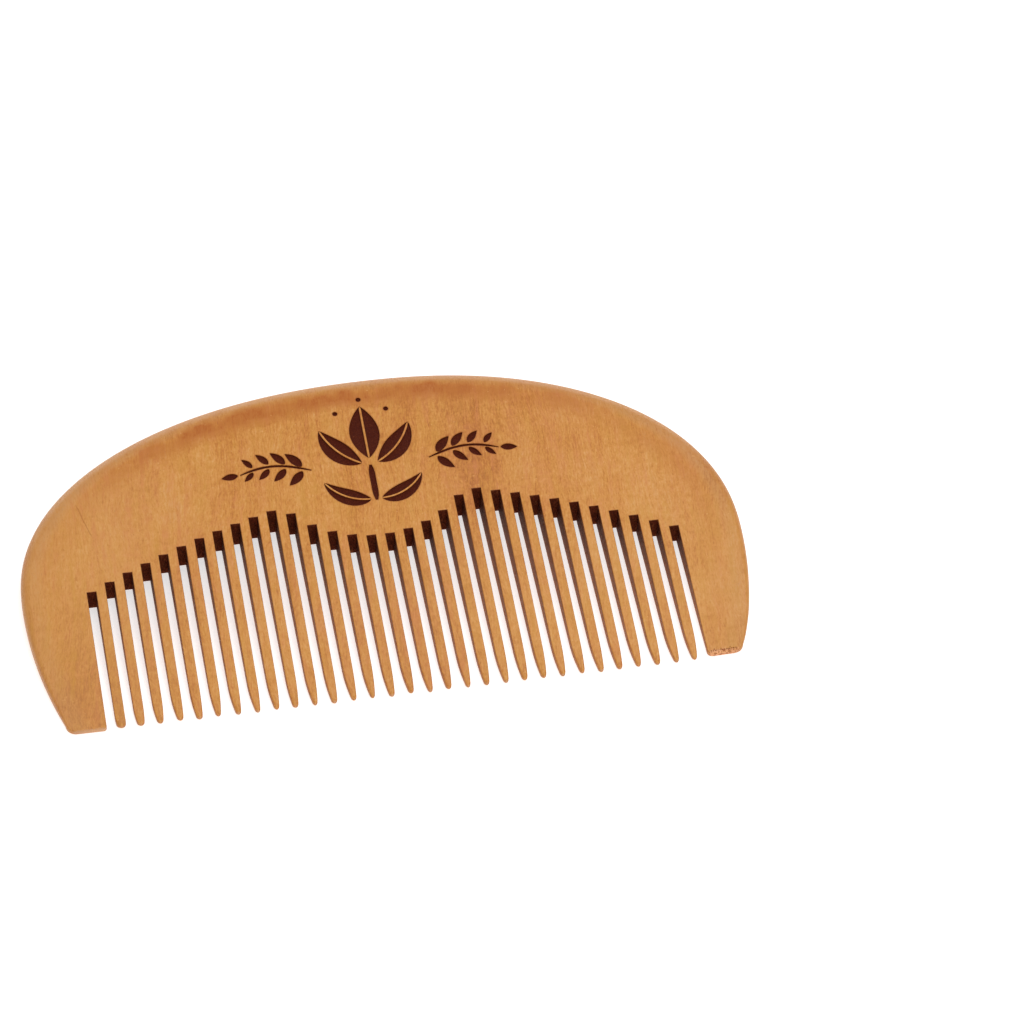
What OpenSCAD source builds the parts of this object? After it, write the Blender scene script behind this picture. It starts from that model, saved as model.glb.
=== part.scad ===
/* [Overall] */
// Length over the two end guards, at their widest
comb_l = 111; // [96:0.5:140]
// Height from the tooth tips to the crown of the spine
comb_h = 59.6; // [50:0.2:75]
// How far the highest point of the crown lies to the right of the middle
crown_shift = 3.2; // [-6:0.2:6]
// Height above the tips at which the comb is widest
widest_h = 24.2; // [18:0.1:27]
// How far each end guard leans in from the widest place to its end
guard_lean = 4.4; // [1:0.1:7]
// Squareness of the shoulders: 2 is an ellipse, more is squarer
shoulder_power = 2.15; // [2:0.05:3]

/* [Thickness] */
// Thickness at the tooth tips
tip_t = 0.85; // [0.6:0.05:1.6]
// Thickness at the crown, before its edge is rounded
crown_t = 8.7; // [6:0.1:11]
// Radius that rounds the edge at the crown
crown_round = 3.6; // [1:0.1:5]
// Radius that rounds the edge at the ends of the guards
guard_round = 0.25; // [0.1:0.05:0.35]
// Radius of the outer corner at the end of each guard
guard_corner = 1.6; // [0.6:0.1:2]

/* [Teeth] */
// Number of teeth between the two end guards
tooth_count = 31; // [21:2:37]
// Width of each sawn slot
slot_w = 1.4; // [1:0.1:1.7]
// Width of each end guard, at its widest
guard_w = 9.85; // [7:0.05:14]
// Width of the blunt end of a tooth
tip_w = 0.7; // [0.3:0.05:0.9]
// Length over which a tooth narrows to its tip
taper_l = 5; // [3:0.5:9]

/* [Slot roots] */
// Height of the root of the outermost slots
end_root_h = 24.2; // [18:0.1:28]
// Height of the root of the slots that are sawn highest
peak_root_h = 35.2; // [30:0.1:40]
// Height of the root at the middle of the comb
mid_root_h = 28.7; // [22:0.1:32]
// Which slot is sawn highest, counted in from each end
peak_slot = 11; // [7:1:13]
// How far the line of roots bows up between the outermost and the highest slot
root_bow = 0.9; // [0:0.1:2]
// Radius of the curve that the roots follow through the middle
mid_root_r = 18; // [14:0.5:40]

/* [Hidden] */
function tooth_name(i) = str("tooth_", i < 10 ? "0" : "", i);

slot_count = tooth_count + 1;
row_l = comb_l - 2 * guard_w;
tooth_w = (row_l - slot_count * slot_w) / tooth_count;
pitch = tooth_w + slot_w;

// The two faces lean apart evenly from the tips to the crown.
face_slope = (crown_t - tip_t) / 2 / comb_h;
face_angle = atan(face_slope);
function half_t(y) = tip_t / 2 + face_slope * y;

// A cut that passes right through reaches this far past the wood.
past = 2;
cut_t = crown_t + 2 * past;
wood = [0.80, 0.59, 0.37];

// --- Slot roots ---------------------------------------------------------

function slot_x(k) = (k - (slot_count + 1) / 2) * pitch;
function from_end(k) = min(k, slot_count + 1 - k);

// Outer run: straight from the end slot to the highest one, bowed up a little.
function outer_root(k) =
    let (t = (from_end(k) - 1) / (peak_slot - 1))
    end_root_h + (peak_root_h - end_root_h) * t + 4 * root_bow * t * (1 - t);

// Middle run: an arc that hangs down to the lowest root of the middle.
function middle_root(k) =
    let (x = min(abs(slot_x(k)), mid_root_r))
    mid_root_h + mid_root_r - sqrt(mid_root_r ^ 2 - x ^ 2);

function root_h(k) = min(outer_root(k), middle_root(k));

// A tooth starts from the spine level with the lower of its two slot roots.
function tooth_l(i) = min(root_h(i), root_h(i + 1));

// --- Outline, seen square on -------------------------------------------

half_l = comb_l / 2;
crown_steps = 40;
side_steps = 8;
corner_steps = 4;

// Crown and shoulders, from the right-hand widest place over to the left-hand one.
crown_line = [
    for (i = [0:crown_steps])
        let (
            a = 180 * i / crown_steps,
            e = 2 / shoulder_power,
            side = sign(cos(a))
        )
        [
            crown_shift + (side * half_l - crown_shift) * pow(abs(cos(a)), e),
            widest_h + (comb_h - widest_h) * pow(abs(sin(a)), e)
        ]
];

// Outer edge of a guard, which leans in from the widest place down to its end.
function guard_x(y) = half_l - guard_lean * ((widest_h - y) / widest_h) ^ 2;

side_line = [
    for (i = [1:side_steps])
        let (y = widest_h + (guard_corner - widest_h) * i / side_steps)
        [guard_x(y), y]
];

// Round corner that turns the side into the flat end of the guard.
corner_line = [
    for (i = [1:corner_steps])
        let (a = 90 * i / corner_steps)
        [
            guard_x(guard_corner) - guard_corner * (1 - cos(a)),
            guard_corner * (1 - sin(a))
        ]
];

guard_line = concat(side_line, corner_line);

function across(p) = [-p.x, p.y];

outline = concat(
    crown_line,
    [for (p = guard_line) across(p)],
    [for (i = [len(guard_line) - 1:-1:0]) guard_line[i]]
);
outline_n = len(outline);

// --- Blank: the whole comb before it is sawn ---------------------------

edge_steps = 5;
round_power = 1.2;

// The edge is rounded more the higher it is, and stays inside the thickness.
function edge_round(y) =
    min(
        guard_round + (crown_round - guard_round) * pow(y / comb_h, round_power),
        0.92 * half_t(y)
    );

function outward(i) =
    let (
        a = outline[(i + outline_n - 1) % outline_n],
        b = outline[(i + 1) % outline_n],
        d = b - a
    )
    [d.y, -d.x] / norm(d);

// One point of the blank: i goes round the outline, a climbs the rounded edge
// from -90 on the back face to 90 on the front face.
function blank_point(i, side, a) =
    let (
        p = outline[i],
        r = edge_round(p.y),
        centre = p - r * outward(i),
        place = centre + r * cos(a) * outward(i)
    )
    [place.x, place.y, side * (half_t(centre.y) - r + r * sin(a))];

rings = concat(
    [for (j = [edge_steps:-1:0]) [-1, 90 * j / edge_steps]],
    [for (j = [0:edge_steps]) [1, 90 * j / edge_steps]]
);
ring_n = len(rings);

blank_points = [
    for (ring = rings)
        for (i = [0:outline_n - 1])
            blank_point(i, ring[0], ring[1])
];

blank_faces = concat(
    [[for (i = [0:outline_n - 1]) i]],
    [
        for (j = [0:ring_n - 2])
            for (i = [0:outline_n - 1])
                let (
                    a = j * outline_n + i,
                    b = j * outline_n + (i + 1) % outline_n
                )
                [a, a + outline_n, b + outline_n, b]
    ],
    [[for (i = [outline_n - 1:-1:0]) (ring_n - 1) * outline_n + i]]
);

// The comb lies on its flat back, centred over the origin.
function laid_y(p) = p.y * cos(face_angle) - p.z * sin(face_angle);
laid = [for (p = blank_points) laid_y(p)];
laid_mid = (min(laid) + max(laid)) / 2;

module lay_down() {
    translate([0, -laid_mid, tip_t / 2 * cos(face_angle)])
        rotate([face_angle, 0, 0])
            children();
}

module blank() {
    polyhedron(points = blank_points, faces = blank_faces, convexity = 4);
}

// A flat shape carried through the whole thickness.
module through() {
    translate([0, 0, -cut_t / 2])
        linear_extrude(cut_t)
            children();
}

// --- Pieces ------------------------------------------------------------

// Everything below the spine: slots up to their roots, teeth and guards up to
// the level where they start.
below_spine = concat(
    [[-half_l - past, -past], [-half_l - past, root_h(1)]],
    [
        for (k = [1:slot_count])
            let (
                x = slot_x(k),
                left_h = k == 1 ? root_h(1) : tooth_l(k - 1),
                right_h = k == slot_count ? root_h(k) : tooth_l(k)
            )
            each [
                if (left_h != root_h(k)) [x - slot_w / 2, left_h],
                if (left_h != root_h(k)) [x - slot_w / 2, root_h(k)],
                if (right_h != root_h(k)) [x + slot_w / 2, root_h(k)],
                if (right_h != root_h(k)) [x + slot_w / 2, right_h]
            ]
    ],
    [[half_l + past, root_h(slot_count)], [half_l + past, -past]]
);

module spine() {
    color(wood)
        lay_down()
            difference() {
                blank();
                through() polygon(below_spine);
            }
}

// side is -1 for the left guard and 1 for the right one.
module end_guard(side) {
    k = side < 0 ? 1 : slot_count;
    x = slot_x(k) + side * slot_w / 2;
    reach = guard_w + past;
    color(wood)
        lay_down()
            intersection() {
                blank();
                through()
                    translate([side < 0 ? x - reach : x, -past])
                        square([reach, root_h(k) + past]);
            }
}

module left_end_guard() {
    end_guard(-1);
}

module right_end_guard() {
    end_guard(1);
}

tip_steps = 6;

// Half the width of a tooth at a height above its tip.
function tooth_half_w(y) =
    let (left = 1 - min(y / taper_l, 1))
    tip_w / 2 + (tooth_w - tip_w) / 2 * (1 - left ^ 2);

module tooth_front(i) {
    side = [
        for (j = [0:tip_steps])
            let (y = taper_l * j / tip_steps)
            [tooth_half_w(y), y]
    ];
    right = concat(side, [[tooth_w / 2, tooth_l(i)]]);
    polygon(concat(right, [for (j = [len(right) - 1:-1:0]) across(right[j])]));
}

// The wedge of the comb, as a slice across one tooth.
module tooth_wedge(i) {
    rotate([90, 0, 90])
        translate([0, 0, -tooth_w])
            linear_extrude(2 * tooth_w)
                polygon([
                    [0, -half_t(0)],
                    [tooth_l(i), -half_t(tooth_l(i))],
                    [tooth_l(i), half_t(tooth_l(i))],
                    [0, half_t(0)]
                ]);
}

module tooth(i) {
    color(wood)
        lay_down()
            translate([(slot_x(i) + slot_x(i + 1)) / 2, 0, 0])
                intersection() {
                    tooth_wedge(i);
                    through() tooth_front(i);
                }
}

spine();
left_end_guard();
right_end_guard();
for (i = [1:tooth_count])
    tooth(i);
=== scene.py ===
import math
import random

import bmesh
import bpy
from mathutils import Matrix, Vector
from mathutils.geometry import delaunay_2d_cdt


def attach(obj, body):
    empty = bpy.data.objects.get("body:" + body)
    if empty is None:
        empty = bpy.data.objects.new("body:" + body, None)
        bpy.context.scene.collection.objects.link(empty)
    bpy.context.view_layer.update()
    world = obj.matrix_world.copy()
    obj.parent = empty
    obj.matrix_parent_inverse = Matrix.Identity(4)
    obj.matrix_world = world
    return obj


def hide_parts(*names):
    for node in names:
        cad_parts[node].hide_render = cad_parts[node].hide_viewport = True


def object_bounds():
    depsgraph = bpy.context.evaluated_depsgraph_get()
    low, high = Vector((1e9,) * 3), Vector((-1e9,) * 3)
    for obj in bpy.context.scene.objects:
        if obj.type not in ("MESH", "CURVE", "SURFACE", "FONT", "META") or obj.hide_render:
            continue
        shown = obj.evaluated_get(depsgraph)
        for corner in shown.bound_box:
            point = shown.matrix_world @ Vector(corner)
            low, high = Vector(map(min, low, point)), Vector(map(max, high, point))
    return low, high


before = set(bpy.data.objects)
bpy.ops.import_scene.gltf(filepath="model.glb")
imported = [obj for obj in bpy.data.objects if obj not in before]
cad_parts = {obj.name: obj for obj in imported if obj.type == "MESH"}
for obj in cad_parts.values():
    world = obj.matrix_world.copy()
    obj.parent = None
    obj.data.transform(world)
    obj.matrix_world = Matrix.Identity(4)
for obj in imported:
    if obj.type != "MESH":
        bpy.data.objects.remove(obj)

cadLow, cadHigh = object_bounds()
print("frame loaded:", len(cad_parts), "nodes")

mm = 0.001
comb = {  # the comb's driving sizes, in millimetres, as it is sawn and shaped
    "length": 111.0,
    "height": 59.6,
    "crownShift": 3.2,
    "widestHeight": 24.2,
    "guardLean": 4.4,
    "shoulderPower": 2.15,
    "tipThickness": 0.85,
    "crownThickness": 8.7,
    "crownRound": 3.6,
    "guardRound": 0.25,
    "guardCorner": 1.6,
    "toothCount": 31,
    "slotWidth": 1.4,
    "guardWidth": 9.85,
    "tipWidth": 0.7,
    "taperLength": 5.0,
    "seamDrop": 0.3,  # a seam lies this far under the slot root that it belongs to
}
roots = {  # the line that the slot roots follow, in millimetres above the tips
    "end": 24.2,
    "peak": 35.2,
    "middle": 28.7,
    "peakSlot": 11,
    "bow": 0.9,
    "middleRadius": 18.0,
}

slotCount = comb["toothCount"] + 1
halfLength = comb["length"] / 2
rowLength = comb["length"] - 2 * comb["guardWidth"]
toothWidth = (rowLength - slotCount * comb["slotWidth"]) / comb["toothCount"]
pitch = toothWidth + comb["slotWidth"]
faceSlope = (comb["crownThickness"] - comb["tipThickness"]) / 2 / comb["height"]
faceAngle = math.atan(faceSlope)


def halfThickness(y):
    return comb["tipThickness"] / 2 + faceSlope * y


def slotX(k):
    return (k - (slotCount + 1) / 2) * pitch


def rootHeight(k):
    fromEnd = min(k, slotCount + 1 - k)
    t = (fromEnd - 1) / (roots["peakSlot"] - 1)
    outer = roots["end"] + (roots["peak"] - roots["end"]) * t + 4 * roots["bow"] * t * (1 - t)
    x = min(abs(slotX(k)), roots["middleRadius"])
    middle = roots["middle"] + roots["middleRadius"] - math.sqrt(roots["middleRadius"] ** 2 - x * x)
    return min(outer, middle)


def seamHeight(i):  # just under the lower of a tooth's two slot roots
    return min(rootHeight(i), rootHeight(i + 1)) - comb["seamDrop"]


# The comb lies on its flat back. The lowest point of a tip is the frame's front edge in Y.
tipY = cadLow.y / mm + comb["tipThickness"] / 2 * math.sin(faceAngle)
layDown = (
    Matrix.Scale(mm, 4)
    @ Matrix.Translation((0, tipY, comb["tipThickness"] / 2 * math.cos(faceAngle)))
    @ Matrix.Rotation(faceAngle, 4, "X")
)


def finishMesh(name, mesh, material, nodes):
    piece = bpy.data.objects.new(name, mesh)
    bpy.context.scene.collection.objects.link(piece)
    if not mesh.materials:
        mesh.materials.append(material)
    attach(piece, "root")
    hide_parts(*nodes)
    return piece


# Shader maths

class Wire:  # one output socket, which Python's operators turn into Math nodes
    def __init__(self, kit, socket):
        self.kit = kit
        self.socket = socket

    def math(self, operation, *others, clamp=False):
        return self.kit.math(operation, self, *others, clamp=clamp)

    def __add__(self, other):
        return self.math("ADD", other)

    def __sub__(self, other):
        return self.math("SUBTRACT", other)

    def __mul__(self, other):
        return self.math("MULTIPLY", other)

    def __truediv__(self, other):
        return self.math("DIVIDE", other)

    def __pow__(self, other):
        return self.math("POWER", other)

    def __neg__(self):
        return self.math("MULTIPLY", -1.0)

    def __abs__(self):
        return self.math("ABSOLUTE")

    def __rsub__(self, other):
        return self.kit.math("SUBTRACT", other, self)

    def __rtruediv__(self, other):
        return self.kit.math("DIVIDE", other, self)

    def __rpow__(self, other):
        return self.kit.math("POWER", other, self)

    __radd__ = __add__
    __rmul__ = __mul__

    def clamp(self):
        return self.math("ADD", 0.0, clamp=True)


class Kit:  # builds a node tree, in a material or in Geometry Nodes
    def __init__(self, tree):
        self.tree = tree

    def join(self, target, value):
        if isinstance(value, Wire):
            self.tree.links.new(value.socket, target)
        else:
            target.default_value = value

    def node(self, kind, settings=None, inputs=None, output=0):
        made = self.tree.nodes.new(kind)
        for key, value in (settings or {}).items():
            if key == "stops":
                ramp = made.color_ramp
                while len(ramp.elements) < len(value):
                    ramp.elements.new(0.5)
                for element, (place, colour) in zip(ramp.elements, value):
                    element.position = place
                    element.color = (*colour, 1)
            else:
                setattr(made, key, value)
        for key, value in (inputs or {}).items():
            self.join(made.inputs[key], value)
        wire = Wire(self, made.outputs[output] if len(made.outputs) else None)
        wire.made = made
        return wire

    def math(self, operation, *values, clamp=False):
        settings = {"operation": operation, "use_clamp": clamp}
        return self.node("ShaderNodeMath", settings, dict(enumerate(values)))

    def stretch(self, vector, scale, turn=(0, 0, 0), shift=(0, 0, 0)):
        inputs = {"Vector": vector, "Scale": scale, "Rotation": turn, "Location": shift}
        return self.node("ShaderNodeMapping", {"vector_type": "POINT"}, inputs)

    def noise(self, vector, scale, detail=2.0, roughness=0.5, shift=(0, 0, 0)):
        # scale is how finely it varies in x, y and z, per millimetre
        place = self.stretch(vector, scale, shift=shift)
        inputs = {"Vector": place, "Scale": 1.0, "Detail": detail, "Roughness": roughness}
        return self.node("ShaderNodeTexNoise", {"noise_dimensions": "3D"}, inputs)

    def mix(self, factor, under, over):  # over is a wire or a plain colour
        made = self.node("ShaderNodeMix", {"data_type": "RGBA", "clamp_result": False}).made
        self.join(made.inputs["Factor"], factor)
        self.join(made.inputs[6], under)
        self.join(made.inputs[7], over if isinstance(over, Wire) else (*over, 1))
        return Wire(self, made.outputs[2])

    def ramp(self, factor, stops):
        return self.node("ShaderNodeValToRGB", {"stops": stops}, {"Fac": factor})

    def span(self, value, low, high, toLow=0.0, toHigh=1.0):  # a straight ramp, held at both ends
        inputs = {"Value": value, "From Min": low, "From Max": high, "To Min": toLow, "To Max": toHigh}
        return self.node("ShaderNodeMapRange", {"clamp": True}, inputs)

    def split(self, vector):
        made = self.node("ShaderNodeSeparateXYZ", inputs={"Vector": vector}).made
        return [Wire(self, socket) for socket in made.outputs]

    def combine(self, x, y, z):
        return self.node("ShaderNodeCombineXYZ", inputs={"X": x, "Y": y, "Z": z})

    def attribute(self, name):
        settings = {"attribute_type": "GEOMETRY", "attribute_name": name}
        return self.node("ShaderNodeAttribute", settings, output=2)


woodLook = {
    "deep": (0.400, 0.118, 0.014),  # linear colours, from the darkest growth to the palest
    "warm": (0.520, 0.176, 0.022),
    "honey": (0.620, 0.245, 0.038),
    "light": (0.685, 0.300, 0.062),
    "pale": (0.750, 0.385, 0.120),
    "blondAndLit": (0.700, 0.345, 0.105),
    "rosy": (0.640, 0.222, 0.070),
    "straw": (0.610, 0.285, 0.036),
    "redBand": (0.465, 0.122, 0.006),
    "rimSheen": (0.545, 0.262, 0.094),
    "endGrainHighlight": (0.640, 0.400, 0.250),
    "tornFlesh": (0.840, 0.400, 0.190),
    "tornFibre": (0.360, 0.080, 0.012),
    "sawn": (0.420, 0.155, 0.062),
    "scorch": (0.290, 0.066, 0.010),
    "bandPlace": (3.5, 8.6),  # how far in from the rim the reddish band runs, in millimetres
    "blondLitPlace": (-20.0, -40.0),  # the wood turns blond towards the left-hand guard, partly painted light falling from the left
    "patches": [  # x, y, reach in x, reach in y, and how much lighter or darker; the broad lighter patch on the left is partly painted light
        (-38.0, 35.0, 17.0, 17.0, 0.16),
        (-30.0, 41.0, 3.5, 9.0, 0.10),
        (-48.0, 6.0, 9.0, 14.0, -0.30),
        (16.5, 45.0, 3.2, 12.0, -0.20),
        (13.0, 37.0, 6.0, 5.0, -0.08),
        (33.0, 37.0, 11.0, 13.0, 0.18),
        (-10.0, 14.0, 36.0, 13.0, 0.03),
    ],
    "grainLean": 0.07,
    "grainSway": (6.0, 0.6),  # how far the grain wanders, broadly and finely, in millimetres
    "layers": {  # the wood's figure, coarse to fine: scale, detail, roughness and shift
        "cloud": ((0.045, 0.030, 0.05), 2.0, 0.5, (3.1, 5.2, 0)),
        "mottle": ((0.20, 0.13, 0.2), 4.0, 0.6, (0, 0, 0)),
        "streak": ((0.85, 0.035, 0.5), 3.0, 0.6, (7, 0, 0)),
        "fibre": ((4.2, 0.16, 2.0), 3.0, 0.6, (0, 0, 0)),
        "tick": ((4.6, 1.0, 3.0), 2.0, 0.6, (0, 9, 0)),
        "speckle": ((3.4, 2.6, 3.0), 2.0, 0.7, (0, 0, 4)),
        "curl": ((0.30, 0.95, 0.3), 2.0, 0.5, (2, 0, 8)),
        "hue": ((0.9, 0.10, 0.5), 4.0, 0.65, (4, 1, 2)),
        "pore": ((9.0, 1.5, 5.0), 1.0, 0.4, (0, 3, 0)),
        "fleck": ((3.0, 2.2, 3.0), 0.0, 0.4, (5, 0, 0)),
    },
    "tone": 0.51,  # the middle of the range from deep to pale
    "toneShares": {"cloud": 0.55, "mottle": 0.58, "streak": 0.58, "curl": 0.26, "fibre": 0.62},
    "fineShares": {"tick": (1.05, 0.5), "speckle": (0.58, 0.35)},  # and how much more at the cut ends
    "toneStops": [(0.0, "deep"), (0.28, "warm"), (0.5, "honey"), (0.72, "light"), (1.0, "pale")],
    "poreShare": 0.38,
    "fleckShare": 0.55,
    "scratchShare": 0.55,
    "endGrainHighlightShare": 0.5,
    "sootShadeStops": [  # scorched wood and painted shade in the slots, from its darkest grit to its palest
        (0.3, (0.055, 0.008, 0.002)),
        (0.52, (0.130, 0.020, 0.005)),
        (0.75, (0.240, 0.054, 0.016)),
    ],
    "charStops": [  # the same for the burnt ornament
        (0.25, (0.046, 0.004, 0.001)),
        (0.55, (0.080, 0.009, 0.001)),
        (0.82, (0.155, 0.034, 0.008)),
    ],
    "scratch": (-43.7, 34.1, 40.2),  # x at its foot, and its lowest and highest y
    "torn": (46.1, 50.3, 1.22),  # the right-hand guard's torn end, from x to x and up to y
    "roughness": 0.46,
    "coatRoughness": 0.34,
    "coat": 0.40,
    "specular": 0.14,
    "bump": (0.5, 0.00005),  # strength, and depth in metres
    "burnLine": 0.2,  # spacing of the burning tool's passes, in millimetres
}


def makeWood():
    look = woodLook
    material = bpy.data.materials.new("fruitwood")
    material.use_nodes = True
    material.node_tree.nodes.clear()
    k = Kit(material.node_tree)
    place = k.node("ShaderNodeTexCoord", output=3)

    # back into the comb's own frame, in millimetres: x along the row, y up to the crown, z out
    # of the front face from the middle of the thickness
    shift, turn, scale = layDown.inverted().decompose()
    own = k.stretch(place, scale, turn=turn.to_euler(), shift=shift)
    x, y, z = k.split(own)
    sway = k.noise(own, (0.05, 0.03, 0.05)) - 0.5
    ripple = k.noise(own, (0.5, 0.35, 0.5)) - 0.5
    broadSway, fineSway = look["grainSway"]
    grain = k.combine(x - y * look["grainLean"] + sway * broadSway + ripple * fineSway, y, z)
    layers = {name: k.noise(grain, *values) - 0.5 for name, values in look["layers"].items()}
    cloud, mottle, streak, curl = (layers[name] for name in ("cloud", "mottle", "streak", "curl"))
    fibre, tick, speckle = (layers[name] for name in ("fibre", "tick", "speckle"))

    # distance in from the shaped rim, in millimetres, from the outline's own formula
    widest = comb["widestHeight"]
    below = k.math("MAXIMUM", (widest - y) / widest, 0.0)
    isRight = k.math("GREATER_THAN", x, comb["crownShift"])
    reach = halfLength + comb["crownShift"] - isRight * (2 * comb["crownShift"])
    reach = reach - below * below * comb["guardLean"]
    across = abs(x - comb["crownShift"]) / reach
    up = k.math("MAXIMUM", (y - widest) / (comb["height"] - widest), 0.0)
    power = comb["shoulderPower"]
    level = across ** power + up ** power
    steepX = across ** (power - 1) * power / reach
    steepY = up ** (power - 1) * (power / (comb["height"] - widest))
    steep = k.math("SQRT", steepX * steepX + steepY * steepY)
    inward = (1 - level) / k.math("MAXIMUM", steep, 0.01)

    bandNear, bandFar = look["bandPlace"]
    wobble = inward + mottle * 5.0 + curl * 1.5 + speckle * 0.8
    band = k.span(wobble, bandNear - 0.8, bandNear + 0.9) * k.span(wobble, bandFar, bandNear + 2.2)
    bandShare = k.span(x, 36.0, 14.0, 0.40, 1.0) * k.span(x, -44.0, -24.0, 0.25, 1.0)
    bandShare = bandShare * k.span(y, 22.0, 40.0, 0.30, 1.0)
    band = band * bandShare * k.span(mottle + cloud * 0.6 + streak * 0.4, -0.20, 0.08, 0.25, 1.0)
    # the rounded rim, which gets a pale painted sheen
    rimSheen = k.span(inward + mottle * 2.0 + speckle * 0.5, 4.0, 2.4) * k.span(y, 22.0, 42.0, 0.35, 1.0)

    tone = look["tone"]
    for name, share in look["toneShares"].items():
        tone = tone + layers[name] * share
    for px, py, reachX, reachY, shade in look["patches"]:
        awayX, awayY = (x - px) / reachX, (y - py) / reachY
        tone = tone + shade * k.math("EXPONENT", -(awayX * awayX + awayY * awayY))
    endward = k.span(y, 3.6, 0.6)
    for name, (share, more) in look["fineShares"].items():
        tone = tone + layers[name] * (share + endward * more)
    colour = k.ramp(tone.clamp(), [(at, look[name]) for at, name in look["toneStops"]])
    # blond wood towards the left and down the teeth: partly the wood's own colour, partly painted light
    # from the left
    blondAndLit = k.span(x + mottle * 14.0, *look["blondLitPlace"]) * k.span(y + mottle * 8.0, 51.0, 42.0)
    blondAndLit = k.math("MAXIMUM", blondAndLit, k.span(y, 30.0, 16.0, 0.0, 0.55))
    colour = k.mix(blondAndLit * (0.36 + tick * 0.4), colour, look["blondAndLit"])

    # rosier and yellower drifts, redder streaks, the reddish band and a painted sheen on the rounded rim
    hue = layers["hue"] + curl * 0.3 - cloud * 0.4
    colour = k.mix(k.span(hue, 0.02, 0.26, 0.0, 0.55), colour, look["rosy"])
    colour = k.mix(k.span(hue, -0.02, -0.26, 0.0, 0.50), colour, look["straw"])
    redder = k.span(streak + mottle * 0.8 - cloud * 0.3, 0.06, 0.34, 0.0, 0.26)
    colour = k.mix(redder, colour, look["redBand"])
    colour = k.mix((band * (0.92 + tick * 1.2 + speckle * 0.6)).clamp(), colour, look["redBand"])
    colour = k.mix((rimSheen * (0.60 + tick * 0.8 + speckle * 0.8)).clamp(), colour, look["rimSheen"])

    # short dark pores along the grain, and sparse pale flecks
    pore = k.span(layers["pore"], 0.16, 0.26)
    colour = k.mix(pore * look["poreShare"], colour, look["deep"])
    fleck = k.span(layers["fleck"], 0.30, 0.36)
    colour = k.mix(fleck * look["fleckShare"], colour, look["pale"])

    # a hairline scratch near the left shoulder
    scratchX, scratchLow, scratchHigh = look["scratch"]
    off = abs(x - scratchX + (y - scratchLow) * 0.27 + ripple * 0.8)
    scratch = k.span(off, 0.15, 0.02) * k.span(y, scratchLow - 0.5, scratchLow + 0.6)
    scratch = scratch * k.span(y, scratchHigh + 0.4, scratchHigh - 0.8) * k.math("GREATER_THAN", z, 0.0)
    colour = k.mix(scratch * look["scratchShare"], colour, look["deep"])

    # end grain at the tips and at the ends of the guards, painted paler as a highlight
    endHighlight = k.span(y + speckle * 0.3 + tick * 0.2, 0.20, 0.05)
    colour = k.mix(endHighlight * look["endGrainHighlightShare"], colour, look["endGrainHighlight"])

    # pale flesh between the torn fibres at the end of the right-hand guard
    tornFrom, tornTo, tornTop = look["torn"]
    rag = tornTop + tick * 0.9 + speckle * 0.7 - y
    torn = k.span(rag, 0.0, 0.25) * k.span(x, tornFrom - 0.5, tornFrom) * k.span(x, tornTo + 0.5, tornTo)
    fresh = k.noise(own, (3.4, 2.2, 3.4), 2.0, 0.6, (1, 6, 0))
    colour = k.mix(torn * k.span(fresh, 0.46, 0.58, 0.20, 0.90), colour, look["tornFlesh"])
    colour = k.mix(torn * k.span(fresh, 0.49, 0.42) * 0.85, colour, look["tornFibre"])

    # sawn walls: the saw's duller colour, partly painted shade in the slots, and a painted darker line
    # along the rim's edge
    sawn = k.attribute("sawn")
    soot = k.attribute("soot")
    burn = k.attribute("burn")
    marks = k.noise(own, (2.0, 5.0, 0.7), 3.0, 0.6) - 0.5
    grit = k.noise(own, (4.5, 4.5, 2.5), 3.0, 0.65) - 0.5
    colour = k.mix((sawn * (0.84 + marks * 0.9)).clamp(), colour, look["sawn"])
    # soot: scorch at the slot roots, and painted shade that fades down the slot walls from them
    sootyShade, charred = k.ramp(grit + 0.5, look["sootShadeStops"]), k.ramp(grit + 0.5, look["charStops"])
    colour = k.mix((soot * (1.1 + marks * 1.4)).clamp(), colour, sootyShade)
    colour = k.mix(k.span(burn, 0.0, 0.5) * (0.9 + grit), colour, look["scorch"])
    colour = k.mix(k.span(burn, 0.45, 0.95), colour, charred)

    dark = k.math("MAXIMUM", burn, soot)
    roughness = look["roughness"] + fibre * 0.20 + mottle * 0.14 + pore * 0.12
    roughness = (roughness + sawn * 0.22 + dark * 0.30).clamp()
    coat = (look["coat"] * (1 - k.math("MAXIMUM", sawn * 0.8, dark)) * (0.92 + mottle)).clamp()

    height = fibre * 0.7 + tick * 0.6 + speckle * 0.5 - pore * 0.7 + torn * fresh * 3.0
    scan = k.math("SINE", y * (2 * math.pi / look["burnLine"]))
    height = height + sawn * marks * 2.4 + dark * grit * 3.0 + burn * scan * 0.35 - scratch * 1.5
    strength, depth = look["bump"]
    bump = k.node("ShaderNodeBump", inputs={"Strength": strength, "Distance": depth, "Height": height})

    surface = k.node("ShaderNodeBsdfPrincipled", inputs={
        "Base Color": colour,
        "Roughness": roughness,
        "Coat Weight": coat,
        "Normal": bump,
        "Coat Roughness": look["coatRoughness"],
        "Specular IOR Level": look["specular"],
    })
    k.node("ShaderNodeOutputMaterial", inputs={"Surface": surface})
    return material


wood = makeWood()
print("wood material ready")


# Spine and end guards: one outline, rounded at its rim and eased at the saw cuts

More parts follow.
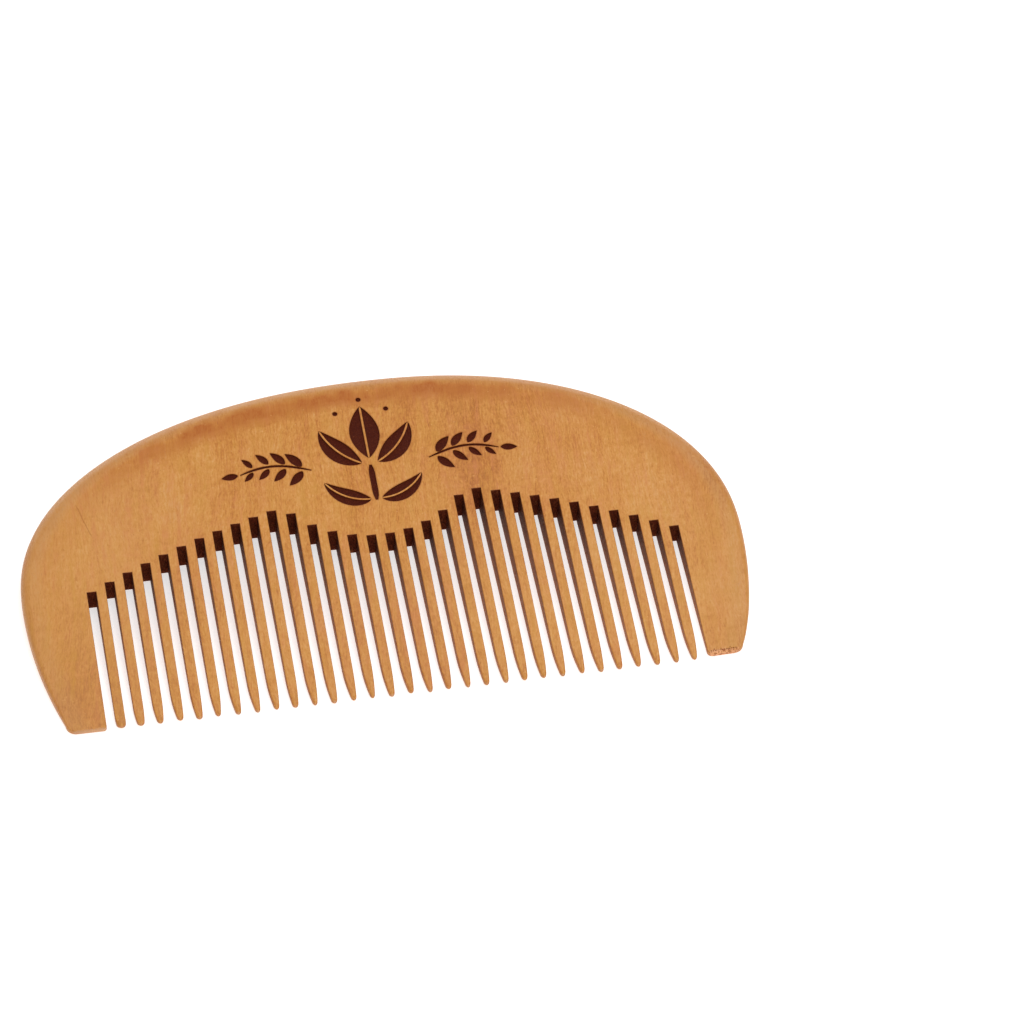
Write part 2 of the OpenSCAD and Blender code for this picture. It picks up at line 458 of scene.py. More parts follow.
body = {
    "crownSteps": 220,
    "sideSteps": 40,
    "cornerSteps": 8,
    "edgeSteps": 8,  # rings from the edge to the face
    "roundPower": 1.2,
    "ease": 0.13,  # how far the sharp edges of the saw cuts are worn
    "thickShare": 0.92,  # the rim's rounding takes up at most this share of the half thickness
    "innerCorner": (0.45, 1.0),  # radius on the left and the right guard
    "innerRound": 0.2,
    "innerSteps": 6,
    "wallSteps": 9,
    "wallCrowding": 1.7,  # how the points of a slot wall crowd towards its root
    "sootShadeReach": 5.0,  # how far the saw's scorch and the painted shade fade down a slot wall
    "rimShade": 0.38,  # painted shade: how much darker the very edge of the rim is
    "shadeTop": (46.0, 12.0),  # where up the rim that darkening ends, and the length of its fade
    "endWear": (0.56, 0.24),  # how far the right-hand guard is worn short, and how much more outside
    "wearReach": 4.0,
    "wearIn": (0.8, 9.0),  # how far its outer side is worn in, and up to what height
    "smoothBelow": 32.0,  # degrees
}


def edgeRound(y):
    share = max(y / comb["height"], 0) ** body["roundPower"]
    rounding = comb["guardRound"] + (comb["crownRound"] - comb["guardRound"]) * share
    return min(rounding, body["thickShare"] * halfThickness(y))


def rimShade(y):  # painted shade: the rim's edge is darker on the guards and the shoulders, not over the crown
    top, fade = body["shadeTop"]
    return body["rimShade"] * min(max((top - y) / fade, 0), 1)


def guardX(y):
    return halfLength - comb["guardLean"] * ((comb["widestHeight"] - y) / comb["widestHeight"]) ** 2


def scorch(k, y):  # darkening at a height in slot k: the saw blade's scorch and painted shade under the root
    return math.exp(-max(rootHeight(k) - y, 0) / body["sootShadeReach"])


def wear(x, y):  # the right-hand guard's end is worn shorter, most at its outer corner
    inner = slotX(slotCount) + comb["slotWidth"] / 2
    share = (x - inner) / comb["guardWidth"]
    if share < -1e-6:
        return x, y
    innerWear, outerWear = body["endWear"]
    wornIn, height = body["wearIn"]
    low, end = max(1 - y / height, 0), max(1 - y / body["wearReach"], 0)
    return x - wornIn * share * low ** 2, y + (innerWear + outerWear * share) * end ** 2


def makeOutline():  # once round the comb, anticlockwise; a cut point opens on to a tooth
    points = []

    def add(x, y, rounding, sawn=0.0, soot=0.0):
        x, y = wear(x, y)
        points.append({"x": x, "y": y, "r": rounding, "sawn": sawn, "soot": soot, "cut": False})

    guardSeam = rootHeight(1) - comb["seamDrop"]
    exponent = 2 / comb["shoulderPower"]
    for i in range(body["crownSteps"] + 1):
        a = math.pi * i / body["crownSteps"]
        c, s = math.cos(a), math.sin(a)
        reach = math.copysign(halfLength, c) - comb["crownShift"]
        x = comb["crownShift"] + reach * abs(c) ** exponent
        y = comb["widestHeight"] + (comb["height"] - comb["widestHeight"]) * abs(s) ** exponent
        add(x, y, edgeRound(y), rimShade(y))

    def guardSide():  # from the widest place down to the flat end, on the right-hand side
        line = []
        drop = comb["guardCorner"] - comb["widestHeight"]
        for i in range(1, body["sideSteps"] + 1):
            y = comb["widestHeight"] + drop * i / body["sideSteps"]
            line.append((guardX(y), y))
        line.append((guardX(guardSeam), guardSeam))
        line.sort(key=lambda p: -p[1])
        for i in range(1, body["cornerSteps"] + 1):
            a = math.pi / 2 * i / body["cornerSteps"]
            turn = comb["guardCorner"]
            line.append((guardX(turn) - turn * (1 - math.cos(a)), turn * (1 - math.sin(a))))
        return line

    sideLine = guardSide()
    for x, y in sideLine:
        add(-x, y, edgeRound(y), rimShade(y))

    def innerCorner(side, turn):  # the guard's inner corner, from its flat end up to the slot wall
        x = slotX(1 if side < 0 else slotCount) + side * comb["slotWidth"] / 2
        line = []
        for i in range(body["innerSteps"] + 1):
            a = math.pi / 2 * i / body["innerSteps"]
            line.append((x + side * turn * (1 - math.sin(a)), turn * (1 - math.cos(a))))
        return line

    def wall(x, low, high):  # from the bottom of a slot's wall up to its root
        steps, crowding = body["wallSteps"], body["wallCrowding"]
        return [(x, high - (high - low) * (1 - i / steps) ** crowding) for i in range(steps + 1)]

    leftTurn, rightTurn = body["innerCorner"]
    for x, y in innerCorner(-1, leftTurn):
        add(x, y, body["innerRound"], sawn=y / leftTurn)
    for k in range(1, slotCount + 1):
        root = rootHeight(k)
        left, right = slotX(k) - comb["slotWidth"] / 2, slotX(k) + comb["slotWidth"] / 2
        leftLow = leftTurn if k == 1 else seamHeight(k - 1)
        rightLow = rightTurn if k == slotCount else seamHeight(k)
        up = wall(left, leftLow, root)
        down = wall(right, rightLow, root)[::-1]
        if k == 1:
            up = sorted(up[1:] + [(left, guardSeam)], key=lambda p: p[1])
        if k == slotCount:
            down = sorted(down[:-1] + [(right, guardSeam)], key=lambda p: -p[1])
        for x, y in up + down:
            add(x, y, body["ease"], 1.0, scorch(k, y))
        if k < slotCount:
            points[-1]["cut"] = True
    for x, y in innerCorner(1, rightTurn)[::-1]:
        add(x, y, body["innerRound"], sawn=y / rightTurn)
    for x, y in sideLine[::-1]:
        add(x, y, edgeRound(y), rimShade(y))
    return points, guardSeam


def insetDirections(points):  # the way in from each point, long enough to keep an even inset at corners
    count = len(points)
    ways = []
    for i, p in enumerate(points):
        before, after = points[i - 1], points[(i + 1) % count]
        sides = []
        if not before["cut"]:
            sides.append(Vector((p["x"] - before["x"], p["y"] - before["y"])).normalized())
        if not p["cut"]:
            sides.append(Vector((after["x"] - p["x"], after["y"] - p["y"])).normalized())
        normals = [Vector((-d.y, d.x)) for d in sides]  # the outline runs anticlockwise, so left is in
        total = sum(normals, Vector((0, 0)))
        ways.append(total / (1 + normals[0].dot(normals[-1])) if len(normals) == 2 else total)
    return ways


# Burnt ornament: a folk flower and two twigs on the front, a line of lozenges on the back

ornament = {
    "centre": (0.5, 44.0),
    "depth": 0.24,
    "halo": 0.20,  # how far the scorch spreads round a shape
    "haloHeat": 0.3,
    "leafSteps": 18,
    "veinEnds": (0.035, 0.22),  # half the vein's width at a leaf's end, and its growth with the leaf
    "discSteps": 18,
    "twig": (9.2, 11.0),  # where a twig starts, and its length
    "lozenges": (4, 4.1, 1.5, 0.13),  # how many each side, pitch, size, and how much smaller each is
    "rules": (3.0, 35.0, 0.36),  # distance from the middle, length and width
}
tornEnd = {  # torn fibres along the end of the right-hand guard, in two staggered rows
    "count": 12,
    "rows": (0.98, 1.24),  # heights above the tips
    "kept": (1.0, 0.35),  # how many of each row's fibres are torn
    "depth": 0.05,
    "halo": 0.02,
    "heat": 0.44,
    "sides": 8,
    "seed": 5,
}


def leaf(x, y, heading, length, width, bend=0.0, belly=0.82, vein=0.0):
    # A leaf from its base, heading in degrees from +X; bend curves its midrib. With a vein
    # it comes as two halves, and the wood between them is left.
    steps = ornament["leafSteps"]
    midrib = []
    for i in range(steps + 1):
        t = (1 - math.cos(math.pi * i / steps)) / 2
        a = math.radians(heading + bend * (t - 0.5))
        along = math.radians(heading + bend * (t - 1) / 2)
        half = width / 2 * math.sin(math.pi * t ** belly) ** 0.8 if 0 < i < steps else 0
        midrib.append((x + length * t * math.cos(along), y + length * t * math.sin(along), a, half))

    def edge(side, reach):
        return [(mx - side * reach(half) * math.sin(a), my + side * reach(half) * math.cos(a))
                for mx, my, a, half in midrib]

    def whole(half):
        return half

    def gap(half):  # the vein narrows towards both ends of the leaf
        least, growth = ornament["veinEnds"]
        return min(vein / 2, least + growth * half)

    if not vein:
        return [edge(-1, whole) + edge(1, whole)[-2:0:-1]]
    rightHalf = edge(-1, whole)[1:-1] + edge(-1, gap)[::-1]
    leftHalf = edge(1, gap) + edge(1, whole)[-2:0:-1]
    return [rightHalf, leftHalf]


def ribbon(line, width):  # a thin stroke along a line, narrower at its ends
    left, right = [], []
    for i, (x, y) in enumerate(line):
        ax, ay = line[max(i - 1, 0)]
        bx, by = line[min(i + 1, len(line) - 1)]
        d = Vector((bx - ax, by - ay)).normalized()
        t = i / (len(line) - 1)
        half = width / 2 * (0.4 + 0.6 * min(1, 6 * min(t, 1 - t)))
        left.append((x - half * d.y, y + half * d.x))
        right.append((x + half * d.y, y - half * d.x))
    return right + left[::-1]


def disc(x, y, radius):
    steps = ornament["discSteps"]
    turns = [2 * math.pi * i / steps for i in range(steps)]
    return [(x + radius * math.cos(a), y + radius * math.sin(a)) for a in turns]


def mirrored(shape, centreX):
    return [(2 * centreX - x, y) for x, y in shape][::-1]


def frontOrnament():
    cx, cy = ornament["centre"]
    single = leaf(cx, cy - 1.0, 90, 9.8, 4.7, belly=0.95, vein=0.34)  # the flower's middle petal
    single.append(ribbon([(cx, cy - 8.9 + 6.6 * i / 8) for i in range(9)], 0.95))
    single.append(disc(cx, cy + 10.1, 0.40))
    pair = leaf(cx + 1.25, cy - 1.8, 50, 8.9, 3.7, bend=46, belly=0.9, vein=0.30)  # outer petals
    pair += leaf(cx + 0.85, cy - 8.6, 30, 7.8, 2.9, bend=62, vein=0.26)  # leaves at the foot of the stem
    pair.append(disc(cx + 4.0, cy + 7.9, 0.40))
    start, reach = ornament["twig"]

    def twigLine(t):
        return cx + start + reach * t, cy - 2.1 + 1.5 * math.sin(math.pi * t * 0.9)

    pair.append(ribbon([twigLine(i / 20) for i in range(21)], 0.42))
    for i in range(4):
        bx, by = twigLine(0.10 + 0.23 * i)
        size = 1.0 - 0.12 * i
        pair += leaf(bx + 0.3, by + 0.42, 50, 3.5 * size, 1.5 * size, bend=-20)
        pair += leaf(bx + 0.3, by - 0.42, -46, 3.3 * size, 1.4 * size, bend=20)
    bx, by = twigLine(1.0)
    pair += leaf(bx + 0.35, by, -6, 2.6, 1.2)
    return single + pair + [mirrored(loop, cx) for loop in pair]


def backOrnament():
    cx, cy = ornament["centre"]
    each, spacing, widest, less = ornament["lozenges"]
    shapes = []
    for i in range(-each, each + 1):
        size = widest - less * abs(i)
        x = cx + spacing * i
        shapes.append([(x - size, cy), (x, cy - size * 0.8), (x + size, cy), (x, cy + size * 0.8)])
    away, length, width = ornament["rules"]
    for dy in (-away, away):
        shapes.append(ribbon([(cx - length / 2 + length * i / 30, cy + dy) for i in range(31)], width))
    return shapes


def burnt(loops):
    settings = {"depth": ornament["depth"], "heat": 1.0, "halo": ornament["halo"]}
    return [{"loop": loop, **settings} for loop in loops]


def tornGrain():
    chance = random.Random(tornEnd["seed"])
    left, right, _ = woodLook["torn"]
    step = (right - left) / tornEnd["count"]
    chips = []
    for row, (height, kept) in enumerate(zip(tornEnd["rows"], tornEnd["kept"])):
        for i in range(tornEnd["count"]):
            x = left + step * (i + 0.3 + 0.4 * row) + chance.uniform(-0.03, 0.03)
            y = height + 0.016 * i + chance.uniform(-0.03, 0.03)
            wide, tall = step * chance.uniform(0.22, 0.38), chance.uniform(0.09, 0.14)
            lean, isTorn = chance.uniform(-0.5, 0.5), chance.random() < kept
            loop = []
            for j in range(tornEnd["sides"]):
                a = 2 * math.pi * j / tornEnd["sides"]
                ragged = chance.uniform(0.7, 1.1)
                up = tall * ragged * math.sin(a)
                loop.append((x + wide * ragged * math.cos(a) + lean * up, y + up))
            if isTorn:
                chips.append({"loop": loop, **{key: tornEnd[key] for key in ("depth", "heat", "halo")}})
    return chips


def grown(shape, distance):  # a loop pushed outwards
    loop = []
    for i, (x, y) in enumerate(shape):
        ax, ay = shape[i - 1]
        bx, by = shape[(i + 1) % len(shape)]
        before = Vector((x - ax, y - ay)).normalized()
        after = Vector((bx - x, by - y)).normalized()
        out, outNext = Vector((before.y, -before.x)), Vector((after.y, -after.x))
        way = (out + outNext) / max(1 + out.dot(outNext), 0.5)
        loop.append((x + way.x * distance, y + way.y * distance))
    return loop


def inside(shape, x, y):
    odd = False
    for i, (bx, by) in enumerate(shape):
        ax, ay = shape[i - 1]
        if (ay > y) != (by > y) and x < (bx - ax) * (y - ay) / (by - ay) + ax:
            odd = not odd
    return odd


print("outline rules ready")


def faceNormal(side):  # 1 for the front face, -1 for the back
    return Vector((0, -math.sin(faceAngle), math.copysign(math.cos(faceAngle), side)))


def setNormals(mesh):  # exact on the flat faces and round the rim, from each point's place on its ring
    turn = layDown.to_3x3().normalized()
    back = turn.inverted()
    hints = mesh.attributes["ringHint"].data
    normals = [Vector((0, 0, 0))] * len(mesh.loops)
    for polygon in mesh.polygons:
        own = back @ polygon.normal
        isFlat = own.dot(faceNormal(own.z)) > 0.9998
        level = Vector((own.x, own.y, 0)).normalized()
        for i in polygon.loop_indices:
            hint = Vector(hints[mesh.loops[i].vertex_index].vector)
            if not polygon.use_smooth:
                normals[i] = polygon.normal.copy()
            elif isFlat:
                normals[i] = turn @ faceNormal(own.z)
            elif hint.length > 0.5:
                way = Vector((hint.x, hint.y, 0))
                if way.length > 1e-4 and way.normalized().dot(level) < 0.85:  # a sharp corner
                    way = level * way.length
                normals[i] = (turn @ (way + faceNormal(hint.z) * abs(hint.z))).normalized()
    mesh.attributes.remove(mesh.attributes["ringHint"])
    mesh.normals_split_custom_set(normals)


def makeBodyMeshes():
    points, guardSeam = makeOutline()
    count = len(points)
    ways = insetDirections(points)
    steps = body["edgeSteps"]
    levels = [(-1, math.pi / 2 * (steps - j) / steps) for j in range(steps + 1)]
    levels += [(1, math.pi / 2 * j / steps) for j in range(steps + 1)]

    vertices, sawn, soot, burn, hints = [], [], [], [], []

    def addVertex(place, sawnShadeHere=0.0, sootShadeHere=0.0, burnHere=0.0, hint=(0, 0, 0)):
        vertices.append(place)
        sawn.append(sawnShadeHere)
        soot.append(sootShadeHere)
        burn.append(burnHere)
        hints.extend(hint)
        return len(vertices) - 1

    rings = []
    for side, a in levels:
        ring = []
        for p, way in zip(points, ways):
            r = p["r"]
            px = p["x"] + way.x * r * (1 - math.cos(a))
            py = p["y"] + way.y * r * (1 - math.cos(a))
            middleY = p["y"] + way.y * r
            z = side * (halfThickness(middleY) - r + r * math.sin(a))
            fade = math.cos(a) ** 2
            out = -way.normalized() * math.cos(a)
            hint = (out.x, out.y, side * math.sin(a))
            ring.append(addVertex((px, py, z), p["sawn"] * fade, p["soot"] * fade, 0.0, hint))
        rings.append(ring)

    quads = []
    for low, high in zip(rings, rings[1:]):
        for i in range(count):
            if not points[i]["cut"]:
                j = (i + 1) % count
                quads.append((low[i], low[j], high[j], high[i]))

    def flatFace(ring, side, shapes):  # a flat face with the burnt shapes let into it
        flat = [Vector(vertices[v][:2]) for v in ring]
        edges = [(i, (i + 1) % count) for i in range(count)]
        tags = [(i, 0.0) for i in range(count)]  # which rim point it is, and how burnt
        seamEnds = [i for i, p in enumerate(points) if abs(p["y"] - guardSeam) < 1e-6]
        edges += [tuple(seamEnds[:2]), tuple(seamEnds[-2:])]  # the seams of the two guards
        for shape in shapes:
            edgeHeat = ornament["haloHeat"] * shape["heat"]
            outer = grown(shape["loop"], shape["halo"])
            for heat, loop in ((edgeHeat, shape["loop"]), (0.0, outer)):
                start = len(flat)
                flat.extend(Vector(p) for p in loop)
                tags.extend((None, heat) for _ in loop)
                edges.extend((start + i, start + (i + 1) % len(loop)) for i in range(len(loop)))
        outV, _, outF, sources, _, _ = delaunay_2d_cdt(flat, edges, [list(range(count))], 0, 1e-5)
        lookup = []
        for v, origins in zip(outV, sources):
            rimOrigin = [tags[o][0] for o in origins if tags[o][0] is not None]
            if rimOrigin:
                lookup.append(ring[rimOrigin[0]])
            else:
                heat = max([tags[o][1] for o in origins], default=0.0)
                lookup.append(addVertex((v.x, v.y, side * halfThickness(v.y)), burnHere=heat))
        tops, floors, sunkBy, boxes = [], [], {}, []
        rimLoop = [(v.x, v.y) for v in flat[:count]]
        for shape in shapes:
            xs, ys = zip(*shape["loop"])
            boxes.append((min(xs), max(xs), min(ys), max(ys), shape))
        for f in outF:
            mx = sum(outV[i].x for i in f) / len(f)
            my = sum(outV[i].y for i in f) / len(f)
            if not inside(rimLoop, mx, my):
                continue
            face = [lookup[i] for i in f]
            holder = None
            for x0, x1, y0, y1, shape in boxes:
                if x0 < mx < x1 and y0 < my < y1 and inside(shape["loop"], mx, my):
                    holder = shape
            if holder:
                floors.append(face)
                for v in face:
                    sunkBy[v] = holder
            else:
                tops.append(face)
        # drop each burnt shape's floor, and join it to the face by a wall
        lowered, floorEdges = {}, {}
        for f in floors:
            for a, b in zip(f, f[1:] + f[:1]):
                floorEdges[(a, b)] = True
                for v in (a, b):
                    if v not in lowered:
                        x, y, z = vertices[v]
                        place = (x, y, z - side * sunkBy[v]["depth"])
                        lowered[v] = addVertex(place, burnHere=sunkBy[v]["heat"])
        made = tops + [[lowered[v] for v in f] for f in floors]
        made += [(a, b, lowered[b], lowered[a]) for a, b in floorEdges if (b, a) not in floorEdges]
        return made if side > 0 else [f[::-1] for f in made]

    faces = quads + flatFace(rings[-1], 1, burnt(frontOrnament()) + tornGrain())
    faces += flatFace(rings[0], -1, burnt(backOrnament()))

    # Share the faces out between the spine and the guards, and close each seam
    guardEdge = slotX(1) - comb["slotWidth"] / 2
    groups = {"spine": [], "left_end_guard": [], "right_end_guard": []}
    for f in faces:
        mx = sum(vertices[v][0] for v in f) / len(f)
        my = sum(vertices[v][1] for v in f) / len(f)
        if my < guardSeam and mx < guardEdge + 0.01:
            groups["left_end_guard"].append(f)
        elif my < guardSeam and mx > -guardEdge - 0.01:
            groups["right_end_guard"].append(f)
        else:
            groups["spine"].append(f)

    made = {}
    for name, members in groups.items():
        mesh = bpy.data.meshes.new(name)
        mesh.from_pydata(vertices, [], [list(f) for f in members])
        for key, values in (("sawn", sawn), ("soot", soot), ("burn", burn)):
            mesh.attributes.new(key, "FLOAT", "POINT").data.foreach_set("value", values)
        mesh.attributes.new("ringHint", "FLOAT_VECTOR", "POINT").data.foreach_set("vector", hints)
        bm = bmesh.new()
        bm.from_mesh(mesh)
        loose = [v for v in bm.verts if not v.link_faces]
        bmesh.ops.delete(bm, geom=loose, context="VERTS")
        openEdges = [e for e in bm.edges if e.is_boundary]
        caps = bmesh.ops.holes_fill(bm, edges=openEdges, sides=0)["faces"]
        for e in bm.edges:
            bend = e.calc_face_angle(0) if len(e.link_faces) == 2 else 0
            e.smooth = bend < math.radians(body["smoothBelow"])
        for f in bm.faces:
            f.smooth = True
        for f in caps:
            f.smooth = False
            for e in f.edges:
                e.smooth = False
        stillOpen = sum(1 for e in bm.edges if not e.is_manifold)
        bmesh.ops.recalc_face_normals(bm, faces=bm.faces)
        bm.transform(layDown)
        bm.to_mesh(mesh)
        volume = bm.calc_volume()
        bm.free()
        setNormals(mesh)
        print(name, "faces", len(mesh.polygons), "open", stillOpen, "mm3", round(volume / mm ** 3, 1))
        made[name] = mesh
    return made


for nodeName, nodeMesh in makeBodyMeshes().items():
    finishMesh(nodeName + "_wood", nodeMesh, wood, [nodeName])
print("spine and guards made")


# Teeth: one Geometry Nodes tree, run once for each tooth with its own sizes

teeth = {
    "edgeSteps": 4,  # segments in each eased edge
    "rings": 30,
    "crowding": 2.6,  # how the rings crowd towards the tip
    "tipRound": 0.50,  # length over which the very tip is rounded off
    "tipShare": 0.96,
    "tipThick": 0.35,  # how much of its thickness the very tip keeps
    "thinShare": 0.85,  # the eased edge takes up at most this share of the half thickness
    "tipEase": 0.9,  # how much more the edges are eased at the tip
    "tipWidths": (0.88, 1.18),  # range of a tip's width, as a share of the usual one
    "tipCurves": (1.85, 2.25),  # range of the power by which a tooth narrows
    "seed": 7,
    "lean": (0.02, 0.20),  # how far a tip leans to the right
    "leanPower": 1.8,
    "short": 0.24,  # how much shorter than full length a tip may be
    "sharpAbove": 50.0,  # degrees
}
toothFloats = [
    "Width", "Length", "Tip Width", "Taper Length", "Tip Thickness", "Face Slope", "Edge Round",
    "Tip Round", "Left Root", "Right Root", "Soot Reach", "Least Lean", "Most Lean", "Shortening",
]
toothInputs = [(name, "NodeSocketFloat") for name in toothFloats]
toothInputs += [("Seed", "NodeSocketInt"), ("Material", "NodeSocketMaterial")]


def makeToothTree():
    tree = bpy.data.node_groups.new("sawnTooth", "GeometryNodeTree")
    for name, kind in toothInputs:
        tree.interface.new_socket(name, in_out="INPUT", socket_type=kind)
    tree.interface.new_socket("Geometry", in_out="OUTPUT", socket_type="NodeSocketGeometry")
    k = Kit(tree)
    source = tree.nodes.new("NodeGroupInput")
    given = {name: Wire(k, source.outputs[name]) for name, _ in toothInputs}

    corner = teeth["edgeSteps"] + 1
    around = 4 * corner
    tube = k.node("GeometryNodeMeshCylinder", {"fill_type": "NGON"}, {
        "Vertices": around, "Side Segments": teeth["rings"], "Radius": 1.0, "Depth": 1.0,
    })
    px, py, pz = k.split(k.node("GeometryNodeInputPosition"))

    # which corner of the section a point belongs to, and how far round that corner it is
    turn = k.math("ARCTAN2", py, px) / (2 * math.pi)
    index = k.math("FLOORED_MODULO", k.math("ROUND", turn * around), around)
    cornerNumber = k.math("FLOOR", (index + 0.5) / corner)
    sub = index - cornerNumber * corner
    angle = (cornerNumber + sub / teeth["edgeSteps"]) * (math.pi / 2)
    middle = cornerNumber * (math.pi / 2) + math.pi / 4
    signX = k.math("SIGN", k.math("COSINE", middle))
    signZ = k.math("SIGN", k.math("SINE", middle))

    same = k.node("FunctionNodeInputInt", {"integer": 0})  # one chance for the whole tooth

    def wander(low, high, offset):
        inputs = {2: low, 3: high, "ID": same, "Seed": given["Seed"] + offset}
        return k.node("FunctionNodeRandomValue", {"data_type": "FLOAT"}, inputs, output=1)

    # the tip is at height 0, or a little higher on a tooth that is short
    share = (pz + 0.5).clamp()
    foot = given["Shortening"] * wander(0.0, 1.0, 1)
    y = foot + (given["Length"] - foot) * share ** teeth["crowding"]
    above = y - foot
    left = 1 - k.math("MINIMUM", above / given["Taper Length"], 1.0)
    tip = given["Tip Width"] * wander(*teeth["tipWidths"], 2)
    full = k.math("MINIMUM", 1.0, 1 - left ** wander(*teeth["tipCurves"], 3))
    halfWide = tip / 2 + (given["Width"] - tip) / 2 * full
    halfThick = given["Tip Thickness"] / 2 + given["Face Slope"] * y
    near = (1 - above / given["Tip Round"]).clamp()
    shrink = k.math("SQRT", 1 - near * near * teeth["tipShare"])
    halfWide = halfWide * shrink
    halfThick = halfThick * (teeth["tipThick"] + (1 - teeth["tipThick"]) * shrink)
    thinnest = k.math("MINIMUM", halfWide, halfThick)
    eased = given["Edge Round"] * (1 + teeth["tipEase"] * left)
    eased = k.math("MINIMUM", eased, thinnest * teeth["thinShare"])

    lean = wander(given["Least Lean"], given["Most Lean"], 4) * left ** teeth["leanPower"]
    x = lean + signX * (halfWide - eased) + eased * k.math("COSINE", angle)
    z = signZ * (halfThick - eased) + eased * k.math("SINE", angle)
    target = k.combine(x, y, -z)

    # the sawn walls with their painted shade, and the scorch and painted shade that fade down them from
    # each root
    wallShare = k.math("COSINE", angle) * k.math("COSINE", angle)
    isRight = k.math("GREATER_THAN", px, 0.0)
    root = given["Left Root"] + (given["Right Root"] - given["Left Root"]) * isRight
    soot = k.math("EXPONENT", -k.math("MAXIMUM", root - y, 0.0) / given["Soot Reach"]) * wallShare
    tipFade = k.span(above, 0.2, 3.0, 0.70, 1.0)
    current = tube
    for name, value in (("sawn", wallShare * tipFade), ("soot", soot), ("burn", 0.0)):
        current = k.node("GeometryNodeStoreNamedAttribute", {"data_type": "FLOAT", "domain": "POINT"},
                         {"Geometry": current, "Name": name, "Value": value})
    placed = k.node("GeometryNodeSetPosition", inputs={"Geometry": current, "Position": target})
    smooth = k.node("GeometryNodeSetShadeSmooth", inputs={"Geometry": placed})
    solid = k.node("GeometryNodeRealizeInstances", inputs={"Geometry": smooth})
    dressed = k.node("GeometryNodeSetMaterial", inputs={"Geometry": solid, "Material": given["Material"]})
    k.node("NodeGroupOutput", inputs={"Geometry": dressed})
    return tree


def runTree(tree, values, name):  # evaluates a tree once and returns a plain mesh
    holder = bpy.data.objects.new(name + "Holder", bpy.data.meshes.new(name + "Holder"))
    bpy.context.scene.collection.objects.link(holder)
    modifier = holder.modifiers.new(tree.name, "NODES")
    modifier.node_group = tree
    for item in tree.interface.items_tree:
        if item.item_type == "SOCKET" and item.in_out == "INPUT" and item.name in values:
            modifier[item.identifier] = values[item.name]
    holder.update_tag()
    graph = bpy.context.evaluated_depsgraph_get()
    mesh = bpy.data.meshes.new_from_object(holder.evaluated_get(graph), depsgraph=graph)
    holder.modifiers.remove(modifier)
    bpy.data.objects.remove(holder)
    mesh.name = name
    return mesh


def makeTeeth():
    tree = makeToothTree()
    for i in range(1, comb["toothCount"] + 1):
        name = "tooth_%02d" % i
        blunt = math.exp(-(i - 1) / 2.2)  # the first few teeth from the left are the bluntest
        values = {
            "Width": toothWidth,
            "Length": seamHeight(i),
            "Tip Width": comb["tipWidth"] * (1 + 0.75 * blunt),
            "Taper Length": comb["taperLength"] * (1.15 - 0.8 * blunt),
            "Tip Thickness": comb["tipThickness"],
            "Face Slope": faceSlope,
            "Edge Round": body["ease"],
            "Tip Round": teeth["tipRound"] * (1 + 0.35 * blunt),
            "Left Root": rootHeight(i),
            "Right Root": rootHeight(i + 1),
            "Soot Reach": body["sootShadeReach"],
            "Least Lean": teeth["lean"][0],
            "Most Lean": teeth["lean"][1],
            "Shortening": teeth["short"],
            "Seed": teeth["seed"] * 100 + i * 10,
            "Material": wood,
        }
        mesh = runTree(tree, values, name)
        mesh.transform(layDown @ Matrix.Translation(((slotX(i) + slotX(i + 1)) / 2, 0, 0)))
        bm = bmesh.new()
        bm.from_mesh(mesh)
        for e in bm.edges:
            if e.calc_face_angle(0) > math.radians(teeth["sharpAbove"]):
                e.smooth = False
        volume = bm.calc_volume()
        bm.to_mesh(mesh)
        bm.free()
        piece = finishMesh(name + "_wood", mesh, wood, [name])
        weighted = piece.modifiers.new("weightedNormals", "WEIGHTED_NORMAL")  # flat sides stay flat
        weighted.keep_sharp = True
    print("teeth made, last volume mm3", round(volume / mm ** 3, 1), "faces", len(mesh.polygons))


makeTeeth()


# Floor, light and camera

studio = {
    "floorReach": 3.0,
    "floorColour": (0.80, 0.80, 0.80),
    "floorGlow": 0.58,  # the floor is a light table
    "world": 0.40,
    "lights": {  # place, target, size, watts
        "high": ((0.25, 0.15, 0.90), (0, 0, 0), (0.6, 0.5), 2.6),
        "front": ((0.06, -0.55, 0.65), (0, 0, 0), (0.5, 0.35), 2.3),
        "backStrip": ((0.0, 0.90, 0.28), (0, 0.02, 0), (1.4, 0.3), 3.3),
    },
    "cameraPlace": (-0.0845, -0.4765, 0.5509),  # a long lens from the front left, high up
    "azimuth": -12.446,
    "elevation": 48.213,
    "roll": 2.89,
    "lens": 167.5,
}


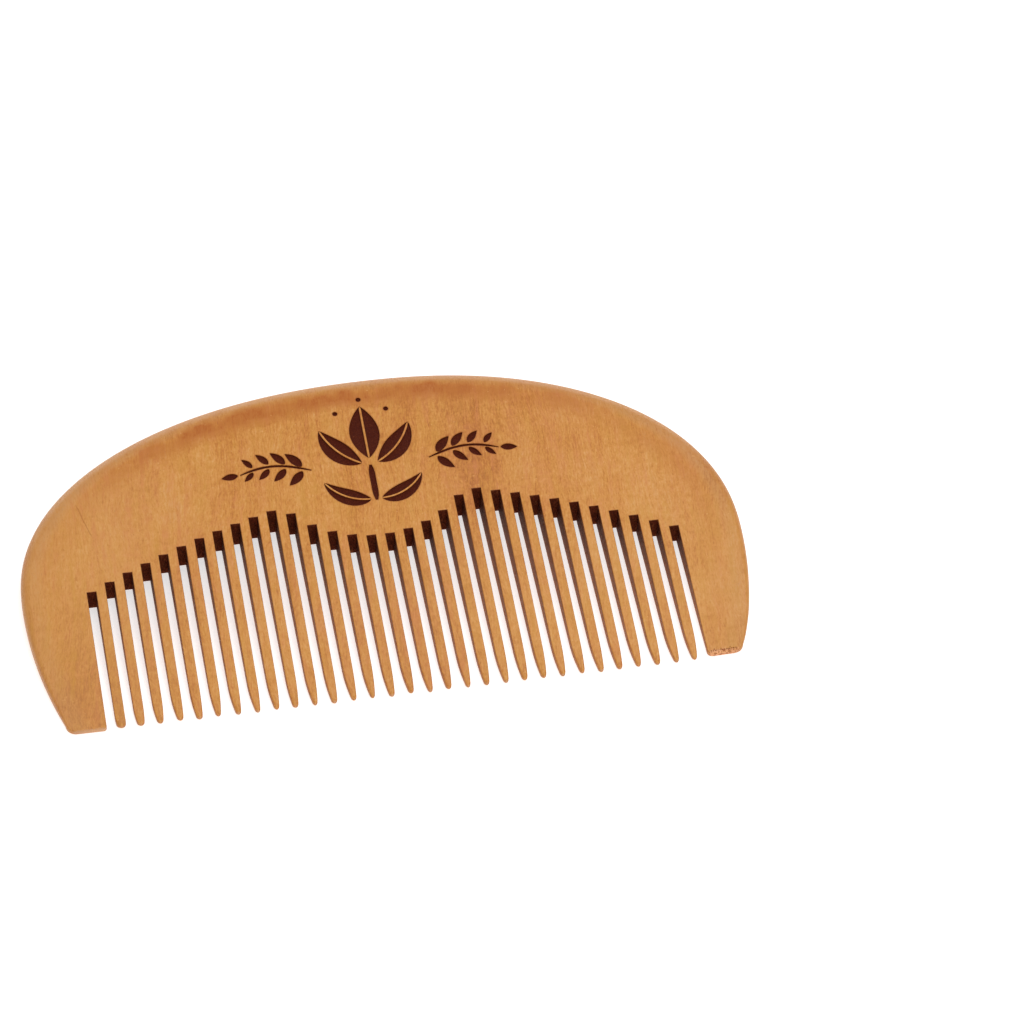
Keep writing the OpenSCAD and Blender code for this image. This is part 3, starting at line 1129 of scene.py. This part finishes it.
def makeStudio():
    scene = bpy.context.scene
    floorMesh = bpy.data.meshes.new("floor")
    far = studio["floorReach"]
    corners = [(-far, -far, 0), (far, -far, 0), (far, far, 0), (-far, far, 0)]
    floorMesh.from_pydata(corners, [], [(0, 1, 2, 3)])
    floor = bpy.data.objects.new("floor", floorMesh)
    floor.location.z = -0.00002
    scene.collection.objects.link(floor)
    material = bpy.data.materials.new("paleFloor")
    material.use_nodes = True
    shader = material.node_tree.nodes["Principled BSDF"]
    shader.inputs["Base Color"].default_value = (*studio["floorColour"], 1)
    shader.inputs["Roughness"].default_value = 0.9
    shader.inputs["Specular IOR Level"].default_value = 0.2
    shader.inputs["Emission Color"].default_value = (1, 1, 1, 1)
    shader.inputs["Emission Strength"].default_value = studio["floorGlow"]
    k = Kit(material.node_tree)  # seen from below, the floor is clear
    below = k.node("ShaderNodeNewGeometry", output=6)
    clear = k.node("ShaderNodeBsdfTransparent")
    both = k.node("ShaderNodeMixShader", inputs={0: below, 1: Wire(k, shader.outputs[0]), 2: clear})
    k.join(material.node_tree.nodes["Material Output"].inputs["Surface"], both)
    floorMesh.materials.append(material)

    world = bpy.data.worlds.new("softWorld")
    world.use_nodes = True
    world.node_tree.nodes["Background"].inputs["Color"].default_value = (1, 1, 1, 1)
    world.node_tree.nodes["Background"].inputs["Strength"].default_value = studio["world"]
    scene.world = world

    for name, (place, target, size, power) in studio["lights"].items():
        light = bpy.data.lights.new(name, "AREA")
        light.shape = "RECTANGLE"
        light.size, light.size_y = size
        light.energy = power
        lamp = bpy.data.objects.new(name, light)
        lamp.location = place
        lamp.rotation_euler = (Vector(target) - Vector(place)).to_track_quat("-Z", "Y").to_euler()
        scene.collection.objects.link(lamp)

    cameraData = bpy.data.cameras.new("camera")
    cameraData.lens = studio["lens"]
    cameraData.sensor_width = 36.0
    cameraData.clip_start, cameraData.clip_end = 0.05, 10
    camera = bpy.data.objects.new("camera", cameraData)
    around = Matrix.Rotation(math.radians(studio["azimuth"]), 4, "Z")
    tilted = Matrix.Rotation(math.radians(90 - studio["elevation"]), 4, "X")
    rolled = Matrix.Rotation(math.radians(studio["roll"]), 4, "Z")
    camera.matrix_world = Matrix.Translation(studio["cameraPlace"]) @ around @ tilted @ rolled
    scene.collection.objects.link(camera)
    scene.camera = camera
    scene.view_settings.view_transform = "Standard"


makeStudio()
print("studio ready")
